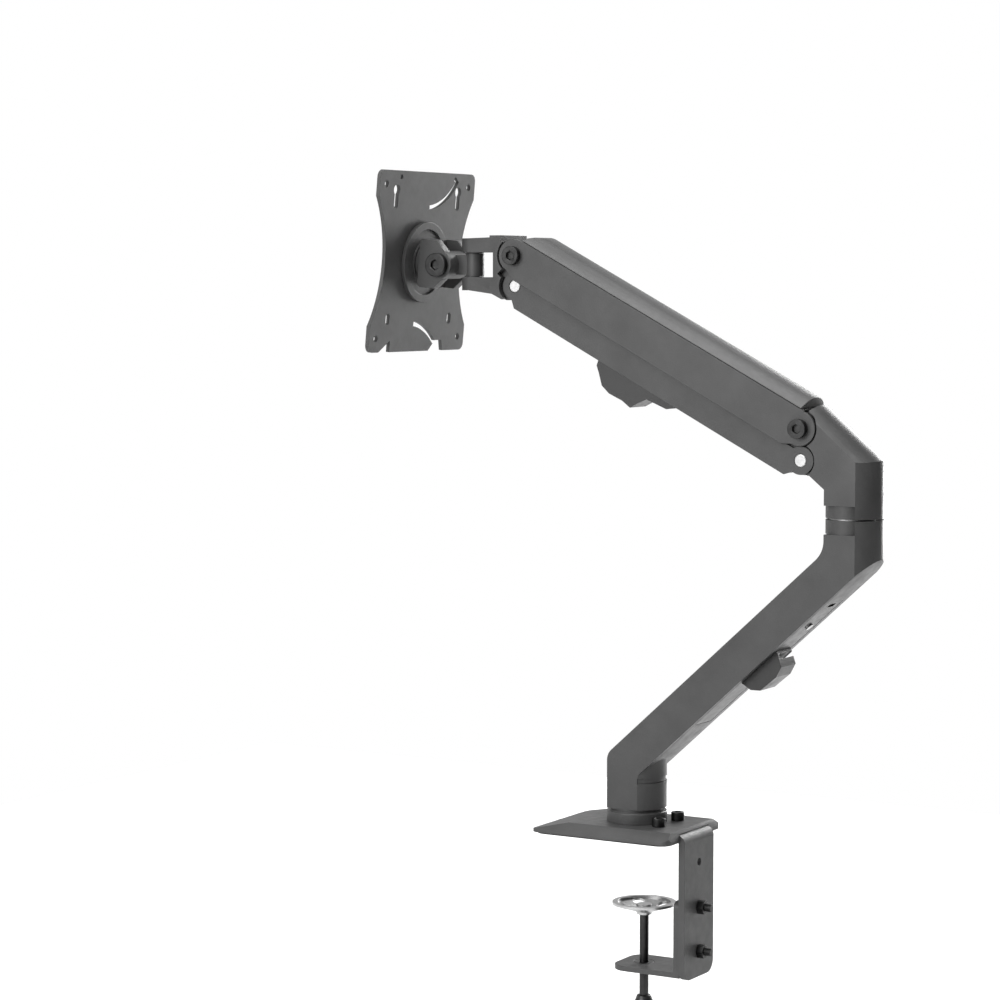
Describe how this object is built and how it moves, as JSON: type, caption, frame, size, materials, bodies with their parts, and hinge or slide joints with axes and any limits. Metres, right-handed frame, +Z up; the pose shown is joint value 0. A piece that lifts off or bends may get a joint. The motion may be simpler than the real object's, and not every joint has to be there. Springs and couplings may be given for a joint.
{
  "type": "monitor arm",
  "caption": "Desk-clamp monitor arm: turning base, folding lower arm, sprung parallel link with two cable clips, and a swivelling, tilting head with a square screen plate.",
  "frame": {"origin": "on the base swivel axis, at the underside of the base pad, which is the desk top", "axes": "+Z up along the base swivel axis, -Y towards the screen, +X to the arm's right-hand side seen from behind the screen"},
  "size_m": [0.116, 0.3361, 0.5522],
  "materials": {
    "dark_coat": "fine powder coat",
    "dark_cast": "fine powder coat over die casting",
    "cover_shell": "satin",
    "black_steel": "black oxide",
    "bright_steel": "zinc plated",
    "black_plastic": "moulded",
    "washer_plastic": "self-lubricating",
    "bush_brass": "turned",
    "pad_rubber": "soft"
  },
  "bodies": {
    "base": {"base_pad": "pad_rubber", "base_plate": "dark_coat", "clamp_bracket": "dark_coat", "bracket_screws": "black_steel", "lower_jaw": "dark_coat", "jaw_thread_nut": "black_steel", "jaw_bolts": "black_steel", "jaw_nuts": "black_steel", "base_collar": "dark_cast", "pivot_post": "bright_steel", "post_bolt": "bright_steel", "glide_washer": "washer_plastic", "post_cap_screw": "bright_steel"},
    "lower_arm": {"lower_arm": "dark_cast", "base_bush": "bush_brass", "underside_cover": "black_plastic", "cover_screw": "bright_steel", "lower_cable_clip": "black_plastic", "elbow_shaft": "bright_steel", "elbow_washer": "bright_steel", "elbow_nut": "bright_steel"},
    "elbow_bracket": {"elbow_bracket": "dark_cast", "elbow_bush": "bush_brass", "rear_pivot_bolts": "black_steel", "rear_pivot_washers": "washer_plastic", "rear_pivot_pins": "bright_steel", "strut_anchor_pin": "black_steel"},
    "main_link": {"main_link": "dark_coat", "link_cover": "cover_shell", "cover_clips": "black_plastic", "strut_bridge": "dark_coat"},
    "tension_screw": {"tension_screw": "black_steel"},
    "strut_tube": {"tension_block": "black_steel", "strut_tube": "dark_coat", "strut_guide": "black_steel"},
    "strut_rod": {"strut_rod": "bright_steel", "strut_eye": "black_steel"},
    "lower_link": {"lower_link": "dark_coat", "upper_cable_clip": "black_plastic"},
    "head_bracket": {"head_bracket": "dark_cast", "front_pivot_bolts": "black_steel", "front_pivot_washers": "washer_plastic", "front_pivot_pins": "bright_steel", "swivel_pin": "black_steel", "swivel_washer_top": "washer_plastic", "swivel_washer_bottom": "washer_plastic"},
    "swivel_yoke": {"swivel_yoke": "dark_coat"},
    "tilt_head": {"tilt_head": "dark_coat", "tilt_bolt": "black_steel", "tilt_nut": "black_steel", "tilt_washers": "washer_plastic", "hub_bolt": "black_steel", "hub_nut": "black_steel", "friction_washer": "washer_plastic"},
    "vesa_plate": {"vesa_plate": "dark_coat", "rotation_disc": "dark_coat"},
    "clamp_pad": {"clamp_pad_disc": "bright_steel"},
    "clamp_screw": {"clamp_screw": "black_steel", "clamp_knob": "black_plastic"}
  },
  "joints": [
    {"name": "base_swivel", "type": "hinge", "parent": "base", "child": "lower_arm", "pos_m": [0, 0, 0.03], "axis": [0, 0, 1], "range_deg": [-180, 180]},
    {"name": "elbow_swivel", "type": "hinge", "parent": "lower_arm", "child": "elbow_bracket", "pos_m": [0, 0.148, 0.2077], "axis": [0, 0, 1], "range_deg": [-180, 180]},
    {"name": "lift", "type": "hinge", "parent": "elbow_bracket", "child": "main_link", "pos_m": [0, 0.1195, 0.2623], "axis": [1, 0, 0], "range_deg": [-17.4, 62.6]},
    {"name": "lower_link_swing", "type": "hinge", "parent": "elbow_bracket", "child": "lower_link", "pos_m": [0, 0.1195, 0.2428], "axis": [1, 0, 0], "range_deg": [-17.5, 62.7]},
    {"name": "head_level", "type": "hinge", "parent": "main_link", "child": "head_bracket", "pos_m": [0, -0.08255, 0.36793], "axis": [1, 0, 0], "range_deg": [-62.7, 17.5]},
    {"name": "strut_slide", "type": "slide", "parent": "strut_tube", "child": "strut_rod", "axis": [0, 0.8706, -0.4919], "range_m": [-0.01273, 0.00368]},
    {"name": "tension_turn", "type": "hinge", "parent": "main_link", "child": "tension_screw", "pos_m": [0, -0.05782, 0.35049], "axis": [0, 0.8706, -0.4919], "range_deg": [-361, 361]},
    {"name": "tension_travel", "type": "slide", "parent": "main_link", "child": "strut_tube", "axis": [0, 0.8706, -0.4919], "range_m": [-0.001, 0.001]},
    {"name": "head_swivel", "type": "hinge", "parent": "head_bracket", "child": "swivel_yoke", "pos_m": [0, -0.121, 0.3622], "axis": [0, 0, 1], "range_deg": [-80, 80]},
    {"name": "tilt", "type": "hinge", "parent": "swivel_yoke", "child": "tilt_head", "pos_m": [0, -0.1395, 0.3622], "axis": [1, 0, 0], "range_deg": [-45, 40]},
    {"name": "plate_turn", "type": "hinge", "parent": "tilt_head", "child": "vesa_plate", "pos_m": [0, -0.1638, 0.36441], "axis": [0, -0.9959, 0.0906], "range_deg": [-90, 90]},
    {"name": "clamp_travel", "type": "slide", "parent": "base", "child": "clamp_pad", "axis": [0, 0, 1], "range_m": [-0.029, 0.011]},
    {"name": "clamp_turn", "type": "hinge", "parent": "clamp_pad", "child": "clamp_screw", "pos_m": [0, 0.0055, -0.06], "axis": [0, 0, 1], "range_deg": [-5221, 1981]}
  ],
  "couplings": [
    {"joint": "lower_link_swing", "follows": "lift", "ratio": 1},
    {"joint": "head_level", "follows": "lift", "ratio": -1},
    {"joint": "strut_slide", "follows": "lift", "m_per_rad": -0.011471},
    {"joint": "tension_turn", "follows": "tension_travel", "rad_per_m": 6283.2},
    {"joint": "clamp_turn", "follows": "clamp_travel", "rad_per_m": 3141.6}
  ]
}
